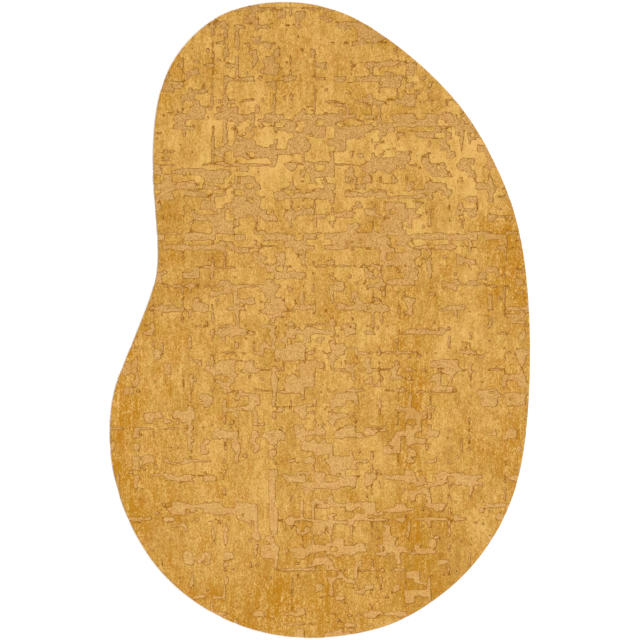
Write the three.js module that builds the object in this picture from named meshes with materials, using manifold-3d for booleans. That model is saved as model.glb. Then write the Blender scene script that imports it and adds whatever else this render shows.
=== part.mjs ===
// An indoor-outdoor rug: one bean-shaped piece of tufted cloth with a cut pile, carved down
// to a lower ground in a worn lattice of rows and columns.
// Millimetres, +Z up. The rug lies flat, with its length along Y and the origin on its underside,
// in the middle of its box.

import * as THREE from 'three';
import { mergeVertices } from 'three/addons/utils/BufferGeometryUtils.js';
import Module from 'manifold-3d';

// Driving dimensions
const rugLength = 2400;
const rugWidth = 1586;
const pileTop = 10;
const groundTop = 7;
const rimRound = 3;
const pileGold = '#dba84e';

// The outline, clockwise from the top. x and y are shares of half the width and half the length,
// and heading is the direction of travel there, in degrees from +X.
const outline = [
  { at: 'top', x: -0.158, y: 1.0, heading: 0 },
  { at: 'north east', x: 0.252, y: 0.917, heading: -33 },
  { at: 'east shoulder', x: 0.637, y: 0.697, heading: -49 },
  { at: 'upper east', x: 0.876, y: 0.429, heading: -67 },
  { at: 'middle east', x: 0.977, y: 0.167, heading: -83 },
  { at: 'east', x: 1.0, y: -0.1, heading: -90 },
  { at: 'lower east', x: 0.971, y: -0.404, heading: -98 },
  { at: 'east foot', x: 0.851, y: -0.654, heading: -119 },
  { at: 'south east', x: 0.605, y: -0.85, heading: -141 },
  { at: 'south south east', x: 0.271, y: -0.971, heading: -165 },
  { at: 'bottom', x: -0.038, y: -1.0, heading: -180 },
  { at: 'south west', x: -0.536, y: -0.911, heading: -211 },
  { at: 'west foot', x: -0.826, y: -0.731, heading: -237 },
  { at: 'west', x: -1.0, y: -0.358, heading: -270 },
  { at: 'hip', x: -0.95, y: -0.165, heading: -292 },
  { at: 'flank', x: -0.826, y: 0.038, heading: -291 },
  { at: 'waist', x: -0.77, y: 0.2, heading: -270 },
  { at: 'chest', x: -0.794, y: 0.475, heading: -270 },
  { at: 'west shoulder', x: -0.738, y: 0.76, heading: -291 },
  { at: 'north west', x: -0.536, y: 0.932, heading: -323 },
];
const outlineSteps = 6;

// The carving, from broad to fine. Sizes are in millimetres, shares run from 0 to 1, and a crispness
// above 1 makes the cells of the noise blockier.
// Wear: soft areas where more is carved, most of them around the middle of the rug. The share that
// the middle adds falls off to nothing at its two reaches, and below nothing beyond them.
const wear = {
  wide: 400, tall: 360, base: -0.5, spread: 1.3, least: -0.8, most: 2.4, seed: 3,
  more: 1.85, middleX: 80, middleY: 200, reachX: 750, reachY: 1300,
};
// Bend: how far the lines of the lattice wander
const bend = { size: 120, reach: 5, seed: 5 };
// Strokes along rows and columns: uncut is the share of a line left whole where nothing is worn,
// and taper is how fast a stroke comes to a point
const rows = { pitch: 64, length: 150, width: 13, swell: 52, uncut: 0.53, taper: 130, seed: 11 };
const columns = { pitch: 58, length: 130, width: 11, swell: 46, uncut: 0.57, taper: 130, seed: 23 };
const strokes = { wander: 0.8, mixed: 0.18, lean: 1.5, wornShare: 0.17, swellCrisp: 1.5 };
// Broad carved patches, and islands of pile left standing in wide carved ground
const patches = {
  wide: 92, tall: 60, crisp: 2.4, fineWide: 36, fineTall: 44, fineCrisp: 2, fineShare: 0.38,
  uncut: 0.7, wornShare: 0.07, slope: 90, seed: 31,
};
const islands = {
  wide: 38, tall: 24, crisp: 2, fineWide: 16, fineTall: 12, fineCrisp: 1, fineShare: 0.25,
  uncut: 0.66, slope: 40, seed: 51,
};

// How much of the carving is cut: the grid it is traced on, how far an edge may be straightened,
// the half width of the thinnest stroke, and the areas of the smallest recess and island
const traceCell = 15;
const edgeSlack = 4;
const leastStroke = 6;
const leastRecess = 2000;
const leastIsland = 1000;

const { clamp, lerp, degToRad, euclideanModulo } = THREE.MathUtils;

// A number from 0 to 1 that looks random, the same for the same whole numbers
function chance(i, j, seed) {
  const v = Math.sin(i * 127.1 + j * 311.7 + seed * 74.7) * 43758.5453;
  return v - Math.floor(v);
}

// Smooth noise from 0 to 1 with one cell per unit
function noise(x, y, seed, crisp = 1) {
  const i = Math.floor(x);
  const j = Math.floor(y);
  const u = clamp((x - i - 0.5) * crisp + 0.5, 0, 1);
  const v = clamp((y - j - 0.5) * crisp + 0.5, 0, 1);
  const s = u * u * (3 - 2 * u);
  const t = v * v * (3 - 2 * v);
  const low = lerp(chance(i, j, seed), chance(i + 1, j, seed), s);
  const high = lerp(chance(i, j + 1, seed), chance(i + 1, j + 1, seed), s);
  return lerp(low, high, t);
}

// Broad noise with a share of finer noise in it
function twoLayers(x, y, form) {
  const broad = noise(x / form.wide, y / form.tall, form.seed, form.crisp);
  const fine = noise(x / form.fineWide, y / form.fineTall, form.seed + 1, form.fineCrisp);
  return lerp(broad, fine, form.fineShare);
}

// How far a point lies inside the nearest stroke of a set of lines, in about millimetres
function strokeDepth(along, across, worn, lines) {
  const nearest = Math.round(across / lines.pitch);
  let depth = -lines.pitch;
  for (let line = nearest - 1; line <= nearest + 1; line++) {
    const middle = (line + strokes.wander * (chance(line, 1, lines.seed) - 0.5)) * lines.pitch;
    const run = noise(along / lines.length + line * 13.7, line * 3.1, lines.seed);
    const mixed = strokes.mixed * (chance(line, 2, lines.seed) - 0.5);
    const uncut = lines.uncut - strokes.wornShare * worn + mixed;
    const widest = lines.width * (0.3 + 1.3 * chance(line, 3, lines.seed) ** 2);
    const swell = noise(along / lines.swell, line * 7.7, lines.seed + 1, strokes.swellCrisp);
    const half = Math.min(widest * (0.4 + 1.2 * swell), lines.taper * (run - uncut));
    const lean = strokes.lean * (chance(line, 4, lines.seed) - 0.5) * clamp(half, 0, widest);
    if (half > leastStroke) depth = Math.max(depth, half - Math.abs(across - middle - lean));
  }
  return depth;
}

// Above zero where the pile is carved down, in about millimetres from the carved edge
function carvedDepth(x, y) {
  const area = noise(x / wear.wide, y / wear.tall, wear.seed) * wear.spread;
  const awayX = (x - wear.middleX) / wear.reachX;
  const awayY = (y - wear.middleY) / wear.reachY;
  const middle = wear.more * (1 - awayX ** 2 - awayY ** 2);
  const worn = clamp(wear.base + area + middle, wear.least, wear.most);
  const bentX = x + 2 * bend.reach * (noise(x / bend.size, y / bend.size, bend.seed) - 0.5);
  const bentY = y + 2 * bend.reach * (noise(x / bend.size, y / bend.size, bend.seed + 1) - 0.5);
  const row = strokeDepth(bentX, bentY, worn, rows);
  const column = strokeDepth(bentY, bentX, worn, columns);
  const broad = twoLayers(bentX, bentY, patches) - patches.uncut + patches.wornShare * worn;
  const depth = Math.max(row, column, broad * patches.slope);
  if (depth <= 0) return depth;
  return Math.min(depth, (islands.uncut - twoLayers(x, y, islands)) * islands.slope);
}

// The carved edges on a square grid, chained into closed loops with the carved ground on their left
function carvedLoops() {
  const iMost = Math.ceil(rugWidth / 2 / traceCell) + 3;
  const jMost = Math.ceil(rugLength / 2 / traceCell) + 3;
  const depths = new Map();
  for (let i = -iMost; i <= iMost; i++) {
    for (let j = -jMost; j <= jMost; j++) {
      const border = Math.abs(i) === iMost || Math.abs(j) === jMost;
      depths.set(`${i},${j}`, border ? -1 : carvedDepth(i * traceCell, j * traceCell));
    }
  }
  const following = new Map();
  const places = new Map();
  for (let i = -iMost; i < iMost; i++) {
    for (let j = -jMost; j < jMost; j++) {
      const corners = [[i, j], [i + 1, j], [i + 1, j + 1], [i, j + 1]];
      const crossings = [];
      corners.forEach((from, k) => {
        const to = corners[(k + 1) % corners.length];
        const fromDepth = depths.get(from.join());
        const toDepth = depths.get(to.join());
        if (fromDepth > 0 === toDepth > 0) return;
        const share = clamp(fromDepth / (fromDepth - toDepth), 0.1, 0.9);
        const name = [from.join(), to.join()].sort().join(' ');
        const place = new THREE.Vector2(...from).lerp(new THREE.Vector2(...to), share);
        places.set(name, place.multiplyScalar(traceCell));
        crossings.push({ name, leaves: fromDepth > 0 });
      });
      crossings.forEach(({ name, leaves }, k) => {
        if (leaves) following.set(name, crossings[(k + 1) % crossings.length].name);
      });
    }
  }
  const loops = [];
  while (following.size > 0) {
    const loop = [];
    let [name] = following.keys();
    while (following.has(name)) {
      loop.push(places.get(name));
      const next = following.get(name);
      following.delete(name);
      name = next;
    }
    loops.push(loop);
  }
  return loops;
}

// Twice the signed area of a triangle, above zero where c lies left of the way from a to b
function turnOf(a, b, c) {
  return (b.x - a.x) * (c.y - a.y) - (b.y - a.y) * (c.x - a.x);
}

// Drops the points that lie within the slack of the line between their neighbours, the flattest
// first, and none whose loss would sweep an edge over another point
function straighten(loops) {
  const points = loops.flat();
  for (const slack of [edgeSlack / 4, edgeSlack / 2, edgeSlack]) {
    for (const loop of loops) {
      for (let k = loop.length - 1; k >= 0 && loop.length > 4; k--) {
        const corners = [loop.at(k - 1), loop[k], loop[(k + 1) % loop.length]];
        const [before, point, after] = corners;
        const height = Math.abs(turnOf(before, after, point)) / before.distanceTo(after);
        if (height > slack) continue;
        const side = Math.sign(turnOf(before, point, after)) || 1;
        const swept = points.some((other) => !corners.includes(other)
          && turnOf(before, point, other) * side >= 0
          && turnOf(point, after, other) * side >= 0
          && turnOf(after, before, other) * side >= 0);
        if (!swept) loop.splice(k, 1);
      }
    }
  }
}

function isInside(point, loop) {
  let inside = false;
  loop.forEach((a, k) => {
    const b = loop[(k + 1) % loop.length];
    if (a.y > point.y === b.y > point.y) return;
    if (point.x < a.x + ((b.x - a.x) * (point.y - a.y)) / (b.y - a.y)) inside = !inside;
  });
  return inside;
}

// The carved ground as shapes, with the islands of standing pile as holes in them
function recessShapes() {
  const loops = carvedLoops();
  straighten(loops);
  const sized = loops.map((loop) => ({ loop, area: THREE.ShapeUtils.area(loop) }));
  const recesses = sized
    .filter(({ area }) => area > leastRecess)
    .sort((a, b) => a.area - b.area)
    .map(({ loop }) => ({ loop, shape: new THREE.Shape(loop) }));
  for (const { loop } of sized.filter(({ area }) => area < -leastIsland)) {
    const around = recesses.find((recess) => isInside(loop[0], recess.loop));
    if (around) around.shape.holes.push(new THREE.Path(loop));
  }
  return recesses.map(({ shape }) => shape);
}

// The rug's outline as one closed curve. Each stretch leaves and arrives along the headings in the
// table, with arms as long as those of an arc of the same turn.
function outlineShape() {
  const shape = new THREE.Shape();
  const ends = outline.map(({ x, y, heading }) => ({
    place: new THREE.Vector2((x * rugWidth) / 2, (y * rugLength) / 2),
    heading: degToRad(heading),
  }));
  shape.moveTo(ends[0].place.x, ends[0].place.y);
  ends.forEach((from, k) => {
    const to = ends[(k + 1) % ends.length];
    const turned = Math.abs(euclideanModulo(to.heading - from.heading + Math.PI, 2 * Math.PI) - Math.PI);
    const chord = from.place.distanceTo(to.place);
    const bow = turned < 0.01 ? 1 / 3 : (2 * Math.tan(turned / 4)) / (3 * Math.sin(turned / 2));
    const arm = chord * bow;
    shape.bezierCurveTo(
      from.place.x + arm * Math.cos(from.heading), from.place.y + arm * Math.sin(from.heading),
      to.place.x - arm * Math.cos(to.heading), to.place.y - arm * Math.sin(to.heading),
      to.place.x, to.place.y,
    );
  });
  return shape;
}

const wasm = await Module();
wasm.setup();

function toSolid(geometry) {
  const bare = geometry.clone();
  bare.deleteAttribute('normal');
  bare.deleteAttribute('uv');
  const merged = mergeVertices(bare);
  return new wasm.Manifold(new wasm.Mesh({
    numProp: 3,
    vertProperties: new Float32Array(merged.attributes.position.array),
    triVerts: new Uint32Array(merged.index.array),
  }));
}

function toGeometry(solid) {
  const mesh = solid.getMesh();
  const geometry = new THREE.BufferGeometry();
  geometry.setAttribute('position', new THREE.BufferAttribute(mesh.vertProperties, 3));
  geometry.setIndex(new THREE.BufferAttribute(mesh.triVerts, 1));
  geometry.computeVertexNormals();
  return geometry;
}

// The whole cloth at full pile height: the extrusion is rounded at both ends, and its lower half
// is cut away, which leaves the underside flat
function blank() {
  const straight = pileTop - rimRound;
  const slab = new THREE.ExtrudeGeometry(outlineShape(), {
    depth: 2 * straight,
    curveSegments: outlineSteps,
    bevelEnabled: true,
    bevelSize: rimRound,
    bevelOffset: -rimRound,
    bevelThickness: rimRound,
    bevelSegments: 2,
  });
  slab.translate(0, 0, -straight);
  const below = new THREE.BoxGeometry(2 * rugWidth, 2 * rugLength, 2 * pileTop);
  below.translate(0, 0, -pileTop);
  return toSolid(slab).subtract(toSolid(below));
}

// All that is carved out of the pile, as prisms that stand at the height of the ground
function carving() {
  const prisms = new THREE.ExtrudeGeometry(recessShapes(), { depth: pileTop, bevelEnabled: false });
  prisms.translate(0, 0, groundTop);
  return toSolid(prisms);
}

function rug() {
  const cloth = new THREE.MeshStandardMaterial({ color: pileGold, roughness: 0.95, metalness: 0 });
  const mesh = new THREE.Mesh(toGeometry(blank().subtract(carving())), cloth);
  mesh.name = 'rug';
  return mesh;
}

const group = new THREE.Group();
group.add(rug());

export default group;
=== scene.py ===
import math

import bmesh
import bpy
import numpy as np
from mathutils import Matrix, Vector


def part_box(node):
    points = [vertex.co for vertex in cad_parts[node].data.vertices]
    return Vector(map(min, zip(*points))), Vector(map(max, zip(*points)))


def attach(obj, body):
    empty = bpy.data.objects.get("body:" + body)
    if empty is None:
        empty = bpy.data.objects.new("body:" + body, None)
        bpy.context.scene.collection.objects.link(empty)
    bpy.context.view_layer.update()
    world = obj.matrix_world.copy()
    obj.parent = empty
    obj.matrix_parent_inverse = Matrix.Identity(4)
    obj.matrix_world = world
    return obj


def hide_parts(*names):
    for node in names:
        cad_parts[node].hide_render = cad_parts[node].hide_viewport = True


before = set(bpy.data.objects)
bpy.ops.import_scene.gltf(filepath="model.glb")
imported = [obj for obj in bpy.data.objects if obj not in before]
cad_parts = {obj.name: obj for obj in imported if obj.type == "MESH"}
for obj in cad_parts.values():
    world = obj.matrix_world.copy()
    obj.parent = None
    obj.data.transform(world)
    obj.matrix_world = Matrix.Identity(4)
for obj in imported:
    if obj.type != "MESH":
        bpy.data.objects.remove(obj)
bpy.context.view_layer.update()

rugLow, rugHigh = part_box("rug")
rugWidth = rugHigh[0] - rugLow[0]
rugLength = rugHigh[1] - rugLow[1]
pileTop = rugHigh[2]

# Camera, lights and floor
studio = {
    "lens": 85.0,
    "sensor": 36.0,
    "farthest": 200.0,  # how far the camera sees
    "framed": 2.415,  # metres of floor across the picture
    "floorSize": 60.0,
    "floorGrey": 0.96,
    "floorRoughness": 0.9,
    "worldLight": 0.56,
    "lamps": (
        {"name": "upperRight", "place": (5.2, 5.6, 8.4), "softness": 11, "strength": 0.91},
        {"name": "lowerRight", "place": (5.5, -5.3, 8.4), "softness": 11, "strength": 0.91},
        {"name": "overhead", "place": (-1.0, 0.0, 9.0), "softness": 31, "strength": 0.68},
    ),
}


def placeCamera():
    camera = bpy.data.objects.new("camera", bpy.data.cameras.new("camera"))
    camera.data.lens = studio["lens"]
    camera.data.sensor_width = studio["sensor"]
    camera.data.clip_end = studio["farthest"]
    height = studio["framed"] * studio["lens"] / studio["sensor"]
    camera.location = (0.0, 0.0, pileTop + height)
    bpy.context.scene.collection.objects.link(camera)
    bpy.context.scene.camera = camera


def placeLamps():
    for lamp in studio["lamps"]:
        light = bpy.data.lights.new(lamp["name"], "SUN")  # the floor stays even to its far edge
        light.energy = lamp["strength"]
        light.angle = math.radians(lamp["softness"])
        holder = bpy.data.objects.new(lamp["name"], light)
        holder.location = lamp["place"]
        holder.rotation_euler = (-Vector(lamp["place"])).to_track_quat("-Z", "Y").to_euler()
        bpy.context.scene.collection.objects.link(holder)


def setWorld():
    world = bpy.data.worlds.new("studio")
    world.use_nodes = True
    nodes = world.node_tree.nodes
    seen = nodes.new("ShaderNodeLightPath")
    strength = nodes.new("ShaderNodeMapRange")
    strength.inputs["To Min"].default_value = studio["worldLight"]
    strength.inputs["To Max"].default_value = 1.0
    world.node_tree.links.new(seen.outputs["Is Camera Ray"], strength.inputs["Value"])
    world.node_tree.links.new(strength.outputs["Result"], nodes["Background"].inputs["Strength"])
    nodes["Background"].inputs["Color"].default_value = (1.0, 1.0, 1.0, 1.0)
    bpy.context.scene.world = world
    bpy.context.scene.view_settings.view_transform = "Standard"


def layFloor():
    bm = bmesh.new()
    bmesh.ops.create_grid(bm, x_segments=1, y_segments=1, size=studio["floorSize"] / 2)
    mesh = bpy.data.meshes.new("floor")
    bm.to_mesh(mesh)
    bm.free()
    floor = bpy.data.objects.new("floor", mesh)
    paint = bpy.data.materials.new("palePaint")
    paint.use_nodes = True
    shader = paint.node_tree.nodes["Principled BSDF"]
    shader.inputs["Base Color"].default_value = (studio["floorGrey"],) * 3 + (1.0,)
    shader.inputs["Roughness"].default_value = studio["floorRoughness"]
    mesh.materials.append(paint)
    bpy.context.scene.collection.objects.link(floor)


placeCamera()
placeLamps()
setWorld()
layFloor()
print("studio ready")

# The outline, clockwise from the top. x and y are shares of half the width and half the length,
# and heading is the direction of travel there, in degrees from +X.
outline = (
    {"at": "top", "x": -0.158, "y": 1.0, "heading": 0},
    {"at": "north east", "x": 0.252, "y": 0.917, "heading": -33},
    {"at": "east shoulder", "x": 0.637, "y": 0.697, "heading": -49},
    {"at": "upper east", "x": 0.876, "y": 0.429, "heading": -67},
    {"at": "middle east", "x": 0.977, "y": 0.167, "heading": -83},
    {"at": "east", "x": 1.0, "y": -0.1, "heading": -90},
    {"at": "lower east", "x": 0.971, "y": -0.404, "heading": -98},
    {"at": "east foot", "x": 0.851, "y": -0.654, "heading": -119},
    {"at": "south east", "x": 0.605, "y": -0.85, "heading": -141},
    {"at": "south south east", "x": 0.271, "y": -0.971, "heading": -165},
    {"at": "bottom", "x": -0.038, "y": -1.0, "heading": -180},
    {"at": "south west", "x": -0.536, "y": -0.911, "heading": -211},
    {"at": "west foot", "x": -0.826, "y": -0.731, "heading": -237},
    {"at": "west", "x": -1.0, "y": -0.358, "heading": -270},
    {"at": "hip", "x": -0.95, "y": -0.165, "heading": -292},
    {"at": "flank", "x": -0.826, "y": 0.038, "heading": -291},
    {"at": "waist", "x": -0.77, "y": 0.2, "heading": -270},
    {"at": "chest", "x": -0.794, "y": 0.475, "heading": -270},
    {"at": "west shoulder", "x": -0.738, "y": 0.76, "heading": -291},
    {"at": "north west", "x": -0.536, "y": 0.932, "heading": -323},
)

# The carving, from broad to fine. Sizes are in metres, shares run from 0 to 1, and a crispness
# above 1 makes the cells of the noise blockier.
carving = {
    "wear": {"wide": 0.4, "tall": 0.36, "base": -0.5, "spread": 1.3, "least": -0.8, "most": 2.4,
             "seed": 3, "more": 1.85, "middle": (0.08, 0.2), "reach": (0.75, 1.3)},
    "bend": {"size": 0.12, "reach": 0.005, "seed": 5},
    "rows": {"pitch": 0.064, "length": 0.15, "width": 0.013, "swell": 0.052, "uncut": 0.53,
             "taper": 0.13, "seed": 11},
    "columns": {"pitch": 0.058, "length": 0.13, "width": 0.011, "swell": 0.046, "uncut": 0.57,
                "taper": 0.13, "seed": 23},
    "strokes": {"wander": 0.8, "mixed": 0.18, "lean": 1.5, "wornShare": 0.17, "swellCrisp": 1.5,
                "thinnest": 0.3, "thicker": 1.3, "pinched": 0.4, "swollen": 1.2,
                # these keep the noise of one line apart from the next line's
                "runApart": 13.7, "lineApart": 3.1, "swellApart": 7.7},
    "patches": {"wide": 0.092, "tall": 0.06, "crisp": 2.4, "fineWide": 0.036, "fineTall": 0.044,
                "fineCrisp": 2, "fineShare": 0.38, "uncut": 0.7, "wornShare": 0.07, "slope": 0.09,
                "seed": 31},
    "islands": {"wide": 0.038, "tall": 0.024, "crisp": 2, "fineWide": 0.016, "fineTall": 0.012,
                "fineCrisp": 1, "fineShare": 0.25, "uncut": 0.63, "slope": 0.04, "seed": 51},
    "ragged": {"area": 0.11, "size": 0.013, "least": 0.001, "most": 0.0075, "rarity": 1.6,
               "seed": 41},
    "nicks": {"cell": 0.05, "least": 0.003, "most": 0.009, "share": 0.42, "stray": 0.6,
              "narrowest": 0.6, "wider": 0.8, "rough": 0.0015, "roughSize": 0.007, "seed": 61},
}


# A number from 0 to 1 that looks random, the same for the same whole numbers
def chance(i, j, seed):
    v = np.sin(i * 127.1 + j * 311.7 + seed * 74.7) * 43758.5453
    return v - np.floor(v)


# Smooth noise from 0 to 1 with one cell per unit
def noise(x, y, seed, crisp=1.0):
    i, j = np.floor(x), np.floor(y)
    u = np.clip((x - i - 0.5) * crisp + 0.5, 0, 1)
    v = np.clip((y - j - 0.5) * crisp + 0.5, 0, 1)
    s, t = u * u * (3 - 2 * u), v * v * (3 - 2 * v)
    low = chance(i, j, seed) * (1 - s) + chance(i + 1, j, seed) * s
    high = chance(i, j + 1, seed) * (1 - s) + chance(i + 1, j + 1, seed) * s
    return low * (1 - t) + high * t


# Noise of one size from -1 to 1
def wobble(x, y, size, seed):
    return 2 * noise(x / size, y / size, seed) - 1


def twoLayers(x, y, form):
    broad = noise(x / form["wide"], y / form["tall"], form["seed"], form["crisp"])
    fine = noise(x / form["fineWide"], y / form["fineTall"], form["seed"] + 1, form["fineCrisp"])
    return broad * (1 - form["fineShare"]) + fine * form["fineShare"]


# How far a point lies inside the nearest stroke of a set of lines
def strokeDepth(along, across, worn, lines):
    strokes, seed = carving["strokes"], lines["seed"]
    nearest = np.round(across / lines["pitch"])
    depth = np.full(np.shape(across), -lines["pitch"])
    for step in (-1, 0, 1):
        line = nearest + step
        middle = (line + strokes["wander"] * (chance(line, 1, seed) - 0.5)) * lines["pitch"]
        run = noise(along / lines["length"] + line * strokes["runApart"],
                    line * strokes["lineApart"], seed)
        mixed = strokes["mixed"] * (chance(line, 2, seed) - 0.5)
        uncut = lines["uncut"] - strokes["wornShare"] * worn + mixed
        thicker = strokes["thicker"] * chance(line, 3, seed) ** 2
        widest = lines["width"] * (strokes["thinnest"] + thicker)
        swell = noise(along / lines["swell"], line * strokes["swellApart"], seed + 1,
                      strokes["swellCrisp"])
        swollen = widest * (strokes["pinched"] + strokes["swollen"] * swell)
        half = np.minimum(swollen, lines["taper"] * (run - uncut))
        lean = strokes["lean"] * (chance(line, 4, seed) - 0.5) * np.clip(half, 0, widest)
        depth = np.maximum(depth, half - np.abs(across - middle - lean))
    return depth


# How far a point lies inside the nearest of the small nicks between the strokes
def nickDepth(x, y):
    nicks = carving["nicks"]
    cell, seed = nicks["cell"], nicks["seed"]
    depth = np.full(np.shape(x), -cell)
    for di in (-1, 0, 1):
        for dj in (-1, 0, 1):
            i, j = np.floor(x / cell) + di, np.floor(y / cell) + dj
            middleX = (i + 0.5 + nicks["stray"] * (chance(i, j, seed) - 0.5)) * cell
            middleY = (j + 0.5 + nicks["stray"] * (chance(i, j, seed + 1) - 0.5)) * cell
            size = nicks["least"] + (nicks["most"] - nicks["least"]) * chance(i, j, seed + 3) ** 2
            stretch = nicks["narrowest"] + nicks["wider"] * chance(i, j, seed + 4)
            inside = size - np.hypot((x - middleX) / stretch, (y - middleY) * stretch)
            there = chance(i, j, seed + 2) < nicks["share"]
            depth = np.maximum(depth, np.where(there, inside, -cell))
    return depth + nicks["rough"] * wobble(x, y, nicks["roughSize"], seed + 5)


# Above zero where the pile is carved down, in about metres from the carved edge
def carvedDepth(x, y):
    wear, bend, patches = carving["wear"], carving["bend"], carving["patches"]
    area = noise(x / wear["wide"], y / wear["tall"], wear["seed"]) * wear["spread"]
    awayX, awayY = [(at - middle) / reach
                    for at, middle, reach in zip((x, y), wear["middle"], wear["reach"])]
    more = wear["more"] * (1 - awayX ** 2 - awayY ** 2)
    worn = np.clip(wear["base"] + area + more, wear["least"], wear["most"])
    bentX = x + bend["reach"] * wobble(x, y, bend["size"], bend["seed"])
    bentY = y + bend["reach"] * wobble(x, y, bend["size"], bend["seed"] + 1)
    broad = twoLayers(bentX, bentY, patches) - patches["uncut"] + patches["wornShare"] * worn
    row = strokeDepth(bentX, bentY, worn, carving["rows"])
    column = strokeDepth(bentY, bentX, worn, carving["columns"])
    depth = np.maximum(np.maximum(row, column), broad * patches["slope"])
    ragged, islands = carving["ragged"], carving["islands"]
    rough = noise(x / ragged["area"], y / ragged["area"], ragged["seed"]) ** ragged["rarity"]
    rough = ragged["least"] + (ragged["most"] - ragged["least"]) * rough
    depth = depth + rough * wobble(x, y, ragged["size"], ragged["seed"] + 1)
    standing = (islands["uncut"] - twoLayers(x, y, islands)) * islands["slope"]
    depth = np.where(depth > 0, np.minimum(depth, standing), depth)
    return np.maximum(depth, nickDepth(x, y))


outlineSteps = 16  # in each stretch from one point of the outline to the next
straightBelow = 0.01  # a turn in radians that counts as none


# The outline as points a short step apart
def outlinePoints(steps):
    ends = [(Vector((at["x"] * rugWidth / 2, at["y"] * rugLength / 2)), math.radians(at["heading"]))
            for at in outline]
    points = []
    for k, (start, leaving) in enumerate(ends):
        end, arriving = ends[(k + 1) % len(ends)]
        turned = abs((arriving - leaving + math.pi) % (2 * math.pi) - math.pi)
        bow = 1 / 3
        if turned >= straightBelow:
            bow = 2 * math.tan(turned / 4) / (3 * math.sin(turned / 2))
        arm = (end - start).length * bow
        first = start + arm * Vector((math.cos(leaving), math.sin(leaving)))
        last = end - arm * Vector((math.cos(arriving), math.sin(arriving)))
        for step in range(steps):
            t = step / steps
            points.append((1 - t) ** 3 * start + 3 * (1 - t) ** 2 * t * first
                          + 3 * (1 - t) * t ** 2 * last + t ** 3 * end)
    return np.array([point[:] for point in points])


rugOutline = outlinePoints(outlineSteps)


# How far a point lies inside the outline, and the way out from there
def insideBy(x, y):
    nearest = np.full(np.shape(x), np.inf)
    wayX, wayY = np.zeros(np.shape(x)), np.zeros(np.shape(x))
    inside = np.zeros(np.shape(x), bool)
    following = np.roll(rugOutline, -1, axis=0)
    for (ax, ay), (bx, by) in zip(rugOutline, following):
        along = ((x - ax) * (bx - ax) + (y - ay) * (by - ay)) / ((bx - ax) ** 2 + (by - ay) ** 2)
        along = np.clip(along, 0, 1)
        toX, toY = ax + along * (bx - ax) - x, ay + along * (by - ay) - y
        gap = np.hypot(toX, toY)
        nearer = gap < nearest
        nearest = np.where(nearer, gap, nearest)
        wayX, wayY = np.where(nearer, toX, wayX), np.where(nearer, toY, wayY)
        if ay != by:
            level = ax + (bx - ax) * (y - ay) / (by - ay)
            inside ^= ((ay > y) != (by > y)) & (x < level)
    side = np.where(inside, 1, -1)
    reach = np.maximum(nearest, 1e-9)  # a point on the outline itself has no way out
    return nearest * side, wayX / reach * side, wayY / reach * side


rug = {
    "cell": 0.0076,  # one square of the grid that the cloth is cut from
    "rimReach": 0.003,  # how far the edge of the pile rounds over
    "rimSteps": ((0.55, 0.18), (0.9, 0.55), (1.0, 1.0)),  # out and down, in shares of the reach
    "groundDrop": 0.003,
    "wallReach": 0.0014,  # how far a carved wall leans, seen from above
    "spareCells": 2,  # squares beyond the outline's box
    "leastCut": 0.08,  # the nearest that a cut passes to a corner of a square
    "halvings": 9,  # how often the place of a cut is narrowed down by half
    "napSize": 0.11,
    "napDip": 0.0005,
    "napSeed": 71,
    "wrap": 0.001,  # the bevel where the side of the pile meets the floor
    "hair": 1e-6,  # as good as nothing
    "slopeStep": 0.0005,  # the slope of the carving is taken this far to either side
    "leastSlope": 0.06,
    "farthest": 0.02,  # the distance to the carved edge goes no further than this
}


# Splits each edge that crosses the level where depthOf has it, and joins the new points across
# the faces
def cutAlong(bm, layer, depthOf, level):
    crossing = [e for e in bm.edges if (e.verts[0][layer] > level) != (e.verts[1][layer] > level)]
    starts = np.array([e.verts[0].co.xy[:] for e in crossing])
    ways = np.array([e.verts[1].co.xy[:] for e in crossing]) - starts
    startOver = np.array([e.verts[0][layer] > level for e in crossing])
    low, high = np.zeros(len(crossing)), np.ones(len(crossing))
    for _ in range(rug["halvings"]):
        middle = (low + high) / 2
        places = starts + ways * middle[:, None]
        like = (depthOf(places[:, 0], places[:, 1]) > level) == startOver
        low, high = np.where(like, middle, low), np.where(like, high, middle)
    shares = np.clip((low + high) / 2, rug["leastCut"], 1 - rug["leastCut"])
    fresh = []
    for edge, share in zip(crossing, shares):
        point = bmesh.utils.edge_split(edge, edge.verts[0], float(share))[1]
        point[layer] = level
        fresh.append(point)
    bmesh.ops.connect_verts(bm, verts=fresh)


def storeDepth(bm, layer, depthOf):
    places = np.array([v.co.xy[:] for v in bm.verts])
    for v, depth in zip(bm.verts, depthOf(places[:, 0], places[:, 1])):
        v[layer] = float(depth)


def rimEdges(bm):
    return [e for e in bm.edges if e.is_boundary]


def rimPoints(bm):
    return list({v: None for e in rimEdges(bm) for v in e.verts})


# Moves points straight out until they lie this far inside the outline
def moveOut(points, insideNow):
    places = np.array([v.co.xy[:] for v in points])
    depths, wayX, wayY = insideBy(places[:, 0], places[:, 1])
    for v, depth, x, y in zip(points, depths, wayX, wayY):
        v.co.x += x * (depth - insideNow)
        v.co.y += y * (depth - insideNow)


def cutCloth():
    bm = bmesh.new()
    across = math.ceil(rugWidth / rug["cell"]) + rug["spareCells"]
    down = math.ceil(rugLength / rug["cell"]) + rug["spareCells"]
    spread = Matrix.Diagonal((across * rug["cell"], down * rug["cell"], 1.0, 1.0))
    bmesh.ops.create_grid(bm, x_segments=across, y_segments=down, size=0.5, matrix=spread)
    inset = bm.verts.layers.float.new("inset")
    storeDepth(bm, inset, lambda x, y: insideBy(x, y)[0])
    cutAlong(bm, inset, lambda x, y: insideBy(x, y)[0], rug["rimReach"])
    outside = [f for f in bm.faces if min(v[inset] for v in f.verts) < rug["rimReach"]]
    bmesh.ops.delete(bm, geom=outside, context="FACES")
    moveOut(rimPoints(bm), rug["rimReach"])
    bm.verts.layers.float.remove(inset)
    return bm


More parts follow.
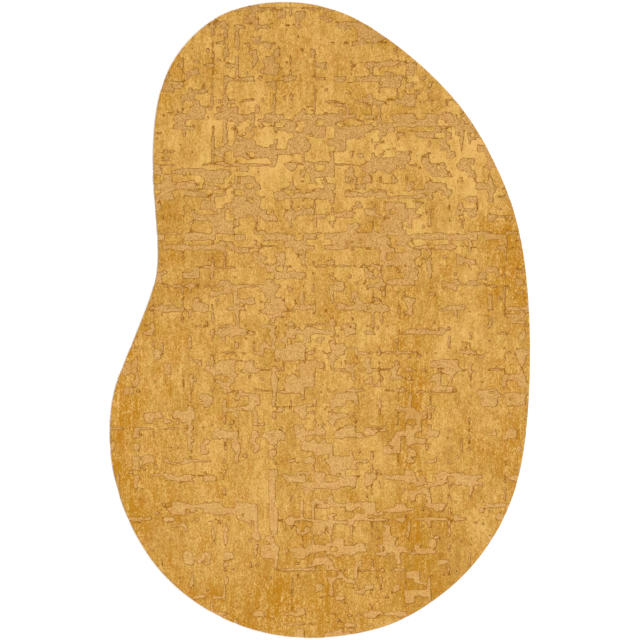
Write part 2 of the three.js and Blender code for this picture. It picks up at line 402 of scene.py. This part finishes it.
def carvePile(bm):
    carve = bm.verts.layers.float.new("carve")
    storeDepth(bm, carve, carvedDepth)
    cutAlong(bm, carve, carvedDepth, 0.0)
    cutAlong(bm, carve, carvedDepth, rug["wallReach"])
    for e in bm.edges:
        e.smooth = not all(v[carve] == 0.0 for v in e.verts)
    for v in bm.verts:
        share = min(max(v[carve] / rug["wallReach"], 0.0), 1.0)
        nap = noise(v.co.x / rug["napSize"], v.co.y / rug["napSize"], rug["napSeed"])
        v.co.z = pileTop - rug["groundDrop"] * share - rug["napDip"] * nap


# The edge of the cloth from its top down to the floor, closed with the woven backing
def turnRim(bm):
    height, reach = 0.0, rug["rimReach"]
    for out, drop in rug["rimSteps"]:
        bmesh.ops.extrude_edge_only(bm, edges=rimEdges(bm))
        points = rimPoints(bm)
        moveOut(points, reach * (1 - out) + rug["hair"])
        bmesh.ops.translate(bm, verts=points, vec=(0, 0, height - reach * drop))
        height = reach * drop
    for insideNow, height in ((rug["hair"], rug["wrap"]), (rug["wrap"], 0.0)):
        bmesh.ops.extrude_edge_only(bm, edges=rimEdges(bm))
        points = rimPoints(bm)
        moveOut(points, insideNow)
        for v in points:
            v.co.z = height
    bmesh.ops.edgeloop_fill(bm, edges=rimEdges(bm), mat_nr=1)


# Distance to the carved edge, which the materials read: the depth over its own slope
def edgeDistance(x, y):
    step, farthest = rug["slopeStep"], rug["farthest"]
    depth = carvedDepth(x, y)
    slopeX = (carvedDepth(x + step, y) - carvedDepth(x - step, y)) / (2 * step)
    slopeY = (carvedDepth(x, y + step) - carvedDepth(x, y - step)) / (2 * step)
    slope = np.maximum(np.hypot(slopeX, slopeY), rug["leastSlope"])
    return np.clip(depth / slope, -farthest, farthest)


bakeMap = {"metres": 2.5, "underside": 0.5, "gap": 0.012}  # metres across the map, and shares of it


# A flat map for the bake: the top with its rim opened out, and the underside beside it, smaller
def layOutMap(mesh, places):
    x, y, z = places.T
    depths, wayX, wayY = insideBy(x, y)
    opened = np.where(depths < rug["rimReach"] - rug["hair"], pileTop - z, 0.0)
    opened += np.where(z < rug["hair"], 2 * depths, 0.0)
    gap, scale = bakeMap["gap"], 1 / bakeMap["metres"]
    margin = 2 * pileTop
    left, foot = rugLow[0] - margin, rugLow[1] - margin
    top = np.stack([x + wayX * opened - left, y + wayY * opened - foot], axis=1) * scale + gap
    under = np.stack([x - rugLow[0], y - rugLow[1]], axis=1) * scale * bakeMap["underside"] + gap
    under[:, 0] += (rugWidth + 2 * margin) * scale
    corners = np.empty(len(mesh.loops), int)
    mesh.loops.foreach_get("vertex_index", corners)
    beneath = np.repeat([face.material_index == 1 for face in mesh.polygons],
                        [face.loop_total for face in mesh.polygons])
    flat = np.where(beneath[:, None], under[corners], top[corners])
    mesh.uv_layers.new(name="OFBake").data.foreach_set("uv", flat.ravel())


def makeRug():
    bm = cutCloth()
    print("cloth cut to its outline:", len(bm.faces), "faces")
    carvePile(bm)
    print("pile carved:", len(bm.faces), "faces")
    turnRim(bm)
    bmesh.ops.recalc_face_normals(bm, faces=bm.faces)
    for f in bm.faces:
        f.smooth = True
    mesh = bpy.data.meshes.new("carvedRug")
    bm.to_mesh(mesh)
    bm.free()
    places = np.empty(len(mesh.vertices) * 3)
    mesh.vertices.foreach_get("co", places)
    places = places.reshape(-1, 3)
    distance = edgeDistance(places[:, 0], places[:, 1])
    mesh.attributes["carve"].data.foreach_set("value", distance)
    layOutMap(mesh, places)
    piece = bpy.data.objects.new("carvedRug", mesh)
    bpy.context.scene.collection.objects.link(piece)
    return piece


carvedRug = makeRug()
triangles = sum(len(face.vertices) - 2 for face in carvedRug.data.polygons)
print("rug made:", triangles, "triangles")


# Materials. Every pattern reads Object coordinates in metres, and the carved edge its distance.
def linear(tint):
    shares = [int(tint[k:k + 2], 16) / 255 for k in (1, 3, 5)]
    return [s / 12.92 if s <= 0.04045 else ((s + 0.055) / 1.055) ** 2.4 for s in shares] + [1.0]


def addNode(tree, kind, sockets=(), **settings):
    node = tree.nodes.new(kind)
    for name, value in settings.items():
        setattr(node, name, value)
    for name, value in dict(sockets).items():
        if isinstance(value, bpy.types.NodeSocket):
            tree.links.new(value, node.inputs[name])
        else:
            node.inputs[name].default_value = value
    return node


def calculate(tree, operation, *values):
    sockets = dict(enumerate(values))
    return addNode(tree, "ShaderNodeMath", sockets, operation=operation).outputs[0]


# 0 up to low, 1 from high on, and smooth between them, also where high is the lower number
def fade(tree, value, low, high):
    sockets = {"Value": value, "From Min": low, "From Max": high}
    return addNode(tree, "ShaderNodeMapRange", sockets, interpolation_type="SMOOTHSTEP").outputs[0]


# One range of values turned into another, evenly
def grade(tree, value, low, high, toLow=0.0, toHigh=1.0):
    sockets = {"Value": value, "From Min": low, "From Max": high, "To Min": toLow, "To Max": toHigh}
    return addNode(tree, "ShaderNodeMapRange", sockets).outputs[0]


def blend(tree, share, first, second):
    sockets = {"Factor": share, "A": first, "B": second}
    node = tree.nodes.new("ShaderNodeMix")
    node.data_type = "RGBA"
    for name, value in sockets.items():
        socket = [i for i in node.inputs if i.name == name and i.enabled][0]
        if isinstance(value, bpy.types.NodeSocket):
            tree.links.new(value, socket)
        else:
            socket.default_value = value
    return [o for o in node.outputs if o.enabled][0]


def newGroup(name, inputs, outputs):
    group = bpy.data.node_groups.new(name, "ShaderNodeTree")
    for label, kind in inputs.items():
        group.interface.new_socket(label, in_out="INPUT", socket_type="NodeSocket" + kind)
    for label, kind in outputs.items():
        group.interface.new_socket(label, in_out="OUTPUT", socket_type="NodeSocket" + kind)
    return group, group.nodes.new("NodeGroupInput").outputs, group.nodes.new("NodeGroupOutput")


def useGroup(tree, group, **sockets):
    return addNode(tree, "ShaderNodeGroup", node_tree=group, sockets=sockets).outputs


yarn = {"detail": 2.0, "roughness": 0.55, "gain": 3.4}


# Noise drawn out along the yarn, from about -1 to 1
def makeYarnNoise():
    group, given, made = newGroup(
        "yarnNoise", {"Vector": "Vector", "Width": "Float", "Length": "Float", "Shift": "Float"},
        {"Value": "Float"})
    size = addNode(group, "ShaderNodeCombineXYZ",
                   {"X": given["Width"], "Y": given["Length"], "Z": given["Width"]}).outputs[0]
    scaled = addNode(group, "ShaderNodeVectorMath", {0: given["Vector"], 1: size},
                     operation="DIVIDE").outputs[0]
    moved = addNode(group, "ShaderNodeVectorMath", {0: scaled, 1: given["Shift"]},
                    operation="ADD").outputs[0]
    cloud = addNode(group, "ShaderNodeTexNoise",
                    {"Vector": moved, "Scale": 1.0, "Detail": yarn["detail"],
                     "Roughness": yarn["roughness"]})
    centred = calculate(group, "SUBTRACT", cloud.outputs[0], 0.5)
    group.links.new(calculate(group, "MULTIPLY", centred, yarn["gain"]), made.inputs["Value"])
    return group


# The tips of the tufts, close together: above 0 at each tip and below 0 between them
def makeTufts():
    group, given, made = newGroup(
        "tufts", {"Vector": "Vector", "Size": "Vector", "Uneven": "Float", "Middle": "Float"},
        {"Value": "Float"})
    cells = addNode(group, "ShaderNodeVectorMath", {0: given["Vector"], 1: given["Size"]},
                    operation="DIVIDE").outputs[0]
    tips = addNode(group, "ShaderNodeTexVoronoi",
                   {"Vector": cells, "Scale": 1.0, "Randomness": given["Uneven"]})
    value = calculate(group, "SUBTRACT", given["Middle"], tips.outputs["Distance"])
    group.links.new(value, made.inputs["Value"])
    return group


# A soft round area: 1 in its middle and 0 from its reach on
def makeSoftArea():
    group, given, made = newGroup(
        "softArea", {"Vector": "Vector", "Middle": "Vector", "Reach": "Vector"}, {"Value": "Float"})
    apart = addNode(group, "ShaderNodeVectorMath", {0: given["Vector"], 1: given["Middle"]},
                    operation="SUBTRACT").outputs[0]
    share = addNode(group, "ShaderNodeVectorMath", {0: apart, 1: given["Reach"]},
                    operation="DIVIDE").outputs[0]
    length = addNode(group, "ShaderNodeVectorMath", {0: share}, operation="LENGTH").outputs["Value"]
    group.links.new(fade(group, length, 1.0, 0.0), made.inputs["Value"])
    return group


carvedLine = {
    "fray": {"Width": 0.005, "Length": 0.005, "Shift": 9.0},
    "patchy": {"Width": 0.035, "Length": 0.035, "Shift": 21.0},
    "softness": 0.0005,
    "full": 0.2,  # the share of the painted shade line's width that is at full strength
    "faintest": -1.3,
    "strongest": 0.4,
}


# Where the carved ground shows, and the dark line along its edge: painted shade in the crease of
# the carved wall, where the pile roots are darker too
def makeCarvedEdge():
    group, given, made = newGroup(
        "carvedEdge",
        {"Vector": "Vector", "Distance": "Float", "Middle": "Float", "Ragged": "Float",
         "Line": "Float"},
        {"Ground": "Float", "Line": "Float"})
    frayed = useGroup(group, yarnNoise, Vector=given["Vector"], **carvedLine["fray"])
    fray = calculate(group, "MULTIPLY", frayed["Value"], given["Ragged"])
    past = calculate(group, "SUBTRACT", given["Distance"], given["Middle"])
    place = calculate(group, "ADD", past, fray)
    softness = carvedLine["softness"]
    group.links.new(fade(group, place, -softness, softness), made.inputs["Ground"])
    off = calculate(group, "ABSOLUTE", place)
    near = calculate(group, "DIVIDE", off, given["Line"])
    line = fade(group, near, 1.0, carvedLine["full"])
    patchy = useGroup(group, yarnNoise, Vector=given["Vector"], **carvedLine["patchy"])
    strength = fade(group, patchy["Value"], carvedLine["faintest"], carvedLine["strongest"])
    group.links.new(calculate(group, "MULTIPLY", line, strength), made.inputs["Line"])
    return group


pitEdge = {"outer": 1.2, "inner": 0.6}  # in shares of the pit's size


# Small pits scattered in the pile, each in its own cell, painted dark as the shade inside them and
# their darker roots
def makePits():
    group, given, made = newGroup(
        "pits", {"Vector": "Vector", "Spread": "Float", "Width": "Float", "Height": "Float",
                 "Share": "Float"},
        {"Value": "Float"})
    flat = addNode(group, "ShaderNodeVectorMath", {0: given["Vector"], 1: (1.0, 1.0, 0.0)},
                   operation="MULTIPLY").outputs[0]
    cells = addNode(group, "ShaderNodeVectorMath", {0: flat, 1: given["Spread"]},
                    operation="DIVIDE").outputs[0]
    nearest = addNode(group, "ShaderNodeTexVoronoi", {"Vector": cells, "Scale": 1.0})
    middle = addNode(group, "ShaderNodeVectorMath",
                     {0: nearest.outputs["Position"], 1: given["Spread"]},
                     operation="MULTIPLY").outputs[0]
    apart = addNode(group, "ShaderNodeVectorMath", {0: flat, 1: middle},
                    operation="SUBTRACT").outputs[0]
    size = addNode(group, "ShaderNodeCombineXYZ",
                   {"X": given["Width"], "Y": given["Height"], "Z": 1.0}).outputs[0]
    share = addNode(group, "ShaderNodeVectorMath", {0: apart, 1: size},
                    operation="DIVIDE").outputs[0]
    length = addNode(group, "ShaderNodeVectorMath", {0: share}, operation="LENGTH").outputs["Value"]
    picked = addNode(group, "ShaderNodeSeparateColor", {0: nearest.outputs["Color"]}).outputs[0]
    there = calculate(group, "LESS_THAN", picked, given["Share"])
    dip = fade(group, length, pitEdge["outer"], pitEdge["inner"])
    group.links.new(calculate(group, "MULTIPLY", dip, there), made.inputs["Value"])
    return group


yarnNoise = makeYarnNoise()
tufts = makeTufts()
pits = makePits()
softArea = makeSoftArea()
carvedEdge = makeCarvedEdge()

pile = {
    "deep": "#b17500",
    "shade": "#996a1b",
    "gold": "#c39241",
    "light": "#dbad5f",
    # the dark of the pile roots, also the colour of the painted shade along the carved edges, in
    # the pits and down the sides
    "rootsInShade": "#925b00",
    "groundDark": "#9c6e2f",
    "groundLight": "#deae69",
    "groundHead": 0.42,  # how light the carved ground is at the head of the rug, from 0 to 1
    "groundFoot": 0.76,
    "lightAt": 0.4,  # the tone at which the pile is all light, or all shade
    "shadeAt": -0.8,
    "deepAt": -0.63,  # the dye at which the pile, or the ground, is all deep
    "groundDeepAt": -1.4,
    "dyedFine": 1.4,  # how much bolder the yarn shows where the dye is deep
    "dyedUneven": 1.5,
    "groundFine": 0.4,
    "broad": {"Width": 0.16, "Length": 0.22, "Shift": 0.0, "weight": 0.2},
    "smear": {"Width": 0.02, "Length": 0.08, "Shift": 4.0, "weight": 0.24},
    "mottle": {"Width": 0.02, "Length": 0.016, "Shift": 27.0, "weight": 0.17},
    "streak": {"Width": 0.0055, "Length": 0.035, "Shift": 7.0, "weight": 0.2},
    "fibre": {"Width": 0.0038, "Length": 0.0072, "Shift": 11.0, "weight": 0.58},
    "blotch": {"Width": 0.1, "Length": 0.14, "Shift": 37.0, "weight": 0.3},
    "run": {"Width": 0.011, "Length": 0.12, "Shift": 41.0, "weight": 1.2},
    "hue": {"Width": 0.035, "Length": 0.05, "Shift": 33.0, "weight": 0.0055},
    "grain": {"Width": 0.0044, "Length": 0.0044, "Shift": 15.0, "weight": 0.6},
    "tufts": {"Size": (0.0021, 0.0027, 0.009), "Uneven": 0.9, "Middle": 0.523},
    "tuftTone": 0.95,
    "edge": {"Middle": 0.0006, "Ragged": 0.0019, "Line": 0.0014},
    "pits": {"Spread": 0.03, "Width": 0.003, "Height": 0.0017, "Share": 0.35},
    # how dark the painted shade in the pits is
    "pitShadeStrength": 0.7,
    # how strongly the painted shade line darkens the carved edges
    "edgeShadeStrength": 1.0,
    "sideFrom": 0.0062,  # painted shade: the sides of the pile darken from this height down to the floor, where the roots are darker too
    "sideShade": 0.6,
    "sheen": 0.06,
    "gloss": 0.15,
    "roughness": 0.72,
    "groundRoughness": 0.95,
    "fineHeight": 2.0,
    "tuftHeight": 2.0,
    "bumpDepth": 0.0004,
    "bumpStrength": 0.6,
}

# Where the dye took deeper, or lighter where the depth is below 0
dyeAreas = (
    {"at": "right edge", "middle": (0.76, 0.19), "reach": (0.2, 0.36), "depth": 0.5},
    {"at": "right foot", "middle": (0.76, -0.45), "reach": (0.22, 0.45), "depth": 0.32},
    {"at": "lower right", "middle": (0.36, -0.87), "reach": (0.24, 0.34), "depth": 0.22},
    {"at": "right of the middle", "middle": (0.35, -0.36), "reach": (0.13, 0.85), "depth": 0.3},
    {"at": "foot", "middle": (-0.2, -1.16), "reach": (0.8, 0.36), "depth": 0.34},
    {"at": "hip", "middle": (-0.72, -0.2), "reach": (0.3, 0.34), "depth": 0.24},
    {"at": "left foot", "middle": (-0.42, -0.66), "reach": (0.2, 0.3), "depth": 0.16},
    {"at": "lower middle", "middle": (-0.05, -0.88), "reach": (0.3, 0.22), "depth": 0.16},
    {"at": "lower left", "middle": (-0.76, -0.66), "reach": (0.3, 0.36), "depth": 0.36},
    {"at": "left", "middle": (-0.76, -0.34), "reach": (0.22, 0.4), "depth": 0.14},
    {"at": "waist", "middle": (-0.58, 0.34), "reach": (0.24, 0.4), "depth": 0.08},
    {"at": "head", "middle": (-0.04, 0.88), "reach": (0.36, 0.18), "depth": 0.22},
    {"at": "head on the left", "middle": (-0.58, 0.86), "reach": (0.18, 0.26), "depth": 0.2},
    {"at": "upper right", "middle": (0.53, 0.66), "reach": (0.3, 0.34), "depth": -0.38},
    {"at": "upper left", "middle": (-0.36, 0.66), "reach": (0.36, 0.38), "depth": -0.16},
    {"at": "upper middle", "middle": (-0.02, 0.62), "reach": (0.36, 0.5), "depth": -0.22},
)

# Where the pile is darker without a deeper colour
dullAreas = (
    {"at": "lower right", "middle": (0.38, -0.88), "reach": (0.28, 0.34), "depth": 0.3},
    {"at": "right of the middle", "middle": (0.3, -0.44), "reach": (0.13, 0.3), "depth": 0.2},
    {"at": "waist", "middle": (-0.56, 0.26), "reach": (0.24, 0.34), "depth": 0.2},
    {"at": "lower middle", "middle": (0.02, -0.88), "reach": (0.2, 0.2), "depth": 0.24},
    {"at": "foot", "middle": (-0.22, -1.1), "reach": (0.2, 0.16), "depth": 0.2},
)


def layer(tree, vector, name):
    sizes = {key: value for key, value in pile[name].items() if key != "weight"}
    value = useGroup(tree, yarnNoise, Vector=vector, **sizes)["Value"]
    return calculate(tree, "MULTIPLY", value, pile[name]["weight"])


def total(tree, values):
    result = values[0]
    for value in values[1:]:
        result = calculate(tree, "ADD", result, value)
    return result


# All the areas together, below 0 where they darken
def soak(tree, vector, areas):
    depths = []
    for area in areas:
        near = useGroup(tree, softArea, Vector=vector, Middle=(*area["middle"], 0.0),
                        Reach=(*area["reach"], 1.0))["Value"]
        depths.append(calculate(tree, "MULTIPLY", near, -area["depth"]))
    return total(tree, depths)


def makeCutPile():
    material = bpy.data.materials.new("cutPile")
    material.use_nodes = True
    tree = material.node_tree
    shader = tree.nodes["Principled BSDF"]
    vector = tree.nodes.new("ShaderNodeTexCoord").outputs["Object"]
    distance = addNode(tree, "ShaderNodeAttribute", attribute_name="carve").outputs["Fac"]
    edge = useGroup(tree, carvedEdge, Vector=vector, Distance=distance, **pile["edge"])

    dye = calculate(tree, "ADD", soak(tree, vector, dyeAreas), layer(tree, vector, "blotch"))
    dull = soak(tree, vector, dullAreas)
    fine = total(tree, [layer(tree, vector, "streak"), layer(tree, vector, "fibre")])
    tips = useGroup(tree, tufts, Vector=vector, **pile["tufts"])["Value"]
    bolder = calculate(tree, "MULTIPLY_ADD", dye, -pile["dyedFine"], 1.0)
    tufted = calculate(tree, "MULTIPLY", tips, pile["tuftTone"])
    tone = total(tree, [layer(tree, vector, "broad"), layer(tree, vector, "smear"),
                        layer(tree, vector, "mottle"), calculate(tree, "MULTIPLY", fine, bolder),
                        tufted])
    lit = total(tree, [tone, dull, calculate(tree, "MAXIMUM", dye, 0.0)])
    lighter = blend(tree, grade(tree, lit, 0.0, pile["lightAt"]),
                    linear(pile["gold"]), linear(pile["light"]))
    shaded = blend(tree, grade(tree, lit, 0.0, pile["shadeAt"]), lighter, linear(pile["shade"]))
    uneven = calculate(tree, "MULTIPLY_ADD", tone, pile["dyedUneven"], layer(tree, vector, "run"))
    streaky = calculate(tree, "MULTIPLY_ADD", calculate(tree, "MULTIPLY", uneven, dye), -1.0, dye)
    golden = blend(tree, grade(tree, streaky, 0.0, pile["deepAt"]), shaded, linear(pile["deep"]))

    place = addNode(tree, "ShaderNodeSeparateXYZ", {0: vector}).outputs
    down = grade(tree, place["Y"], rugLength / 2, -rugLength / 2,
                 pile["groundHead"], pile["groundFoot"])
    grain = layer(tree, vector, "grain")
    groundTone = total(tree, [down, grain, calculate(tree, "MULTIPLY", fine, pile["groundFine"]),
                              tufted])
    bare = blend(tree, groundTone, linear(pile["groundDark"]), linear(pile["groundLight"]))
    ground = blend(tree, grade(tree, dye, 0.0, pile["groundDeepAt"]), bare, linear(pile["deep"]))

    # painted shade: the pits take the dark root colour
    pit = useGroup(tree, pits, Vector=vector, **pile["pits"])["Value"]
    pit = calculate(tree, "MULTIPLY", pit, pile["pitShadeStrength"])
    golden = blend(tree, pit, golden, linear(pile["rootsInShade"]))
    surface = blend(tree, edge["Ground"], golden, ground)
    hue = calculate(tree, "ADD", layer(tree, vector, "hue"), 0.5)  # 0.5 leaves the hue as it is
    surface = addNode(tree, "ShaderNodeHueSaturation", {"Color": surface, "Hue": hue}).outputs[0]
    # painted shade: the dark line along the carved edges, over roots that are darker too
    edgeShade = calculate(tree, "MULTIPLY", edge["Line"], pile["edgeShadeStrength"])
    # painted shade down the sides of the pile towards the floor, partly the darker roots
    low = grade(tree, place["Z"], pile["sideFrom"], 0.0, 0.0, pile["sideShade"])
    colour = blend(tree, calculate(tree, "MAXIMUM", edgeShade, low), surface, linear(pile["rootsInShade"]))
    tree.links.new(colour, shader.inputs["Base Color"])

    roughness = grade(tree, edge["Ground"], 0.0, 1.0, pile["roughness"], pile["groundRoughness"])
    tree.links.new(roughness, shader.inputs["Roughness"])
    shader.inputs["Sheen Weight"].default_value = pile["sheen"]
    shader.inputs["Specular IOR Level"].default_value = pile["gloss"]
    rough = calculate(tree, "MULTIPLY_ADD", fine, pile["fineHeight"], grain)
    rough = calculate(tree, "MULTIPLY_ADD", tips, pile["tuftHeight"], rough)
    relief = addNode(tree, "ShaderNodeBump", {"Height": rough, "Distance": pile["bumpDepth"],
                                              "Strength": pile["bumpStrength"]})
    tree.links.new(relief.outputs[0], shader.inputs["Normal"])
    return material


backing = {
    "yarn": "#b9a482",
    "gap": "#8d7a5c",
    "pitch": 0.004,
    "gapAt": -0.9,
    "yarnAt": 0.6,
    "roughness": 0.95,
    "bumpDepth": 0.0005,
    "bumpStrength": 0.6,
}


# The plain woven backing of the underside
def makeWovenBacking():
    material = bpy.data.materials.new("wovenBacking")
    material.use_nodes = True
    tree = material.node_tree
    shader = tree.nodes["Principled BSDF"]
    vector = tree.nodes.new("ShaderNodeTexCoord").outputs["Object"]
    place = addNode(tree, "ShaderNodeSeparateXYZ", {0: vector}).outputs
    turn = 2 * math.pi / backing["pitch"]
    warp = calculate(tree, "SINE", calculate(tree, "MULTIPLY", place["X"], turn))
    weft = calculate(tree, "SINE", calculate(tree, "MULTIPLY", place["Y"], turn))
    weave = calculate(tree, "MULTIPLY", warp, weft)
    raised = fade(tree, weave, backing["gapAt"], backing["yarnAt"])
    colour = blend(tree, raised, linear(backing["gap"]), linear(backing["yarn"]))
    tree.links.new(colour, shader.inputs["Base Color"])
    shader.inputs["Roughness"].default_value = backing["roughness"]
    relief = addNode(tree, "ShaderNodeBump", {"Height": weave, "Distance": backing["bumpDepth"],
                                              "Strength": backing["bumpStrength"]})
    tree.links.new(relief.outputs[0], shader.inputs["Normal"])
    return material


carvedRug.data.materials.append(makeCutPile())
carvedRug.data.materials.append(makeWovenBacking())
print("materials made")

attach(carvedRug, "root")
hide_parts("rug")
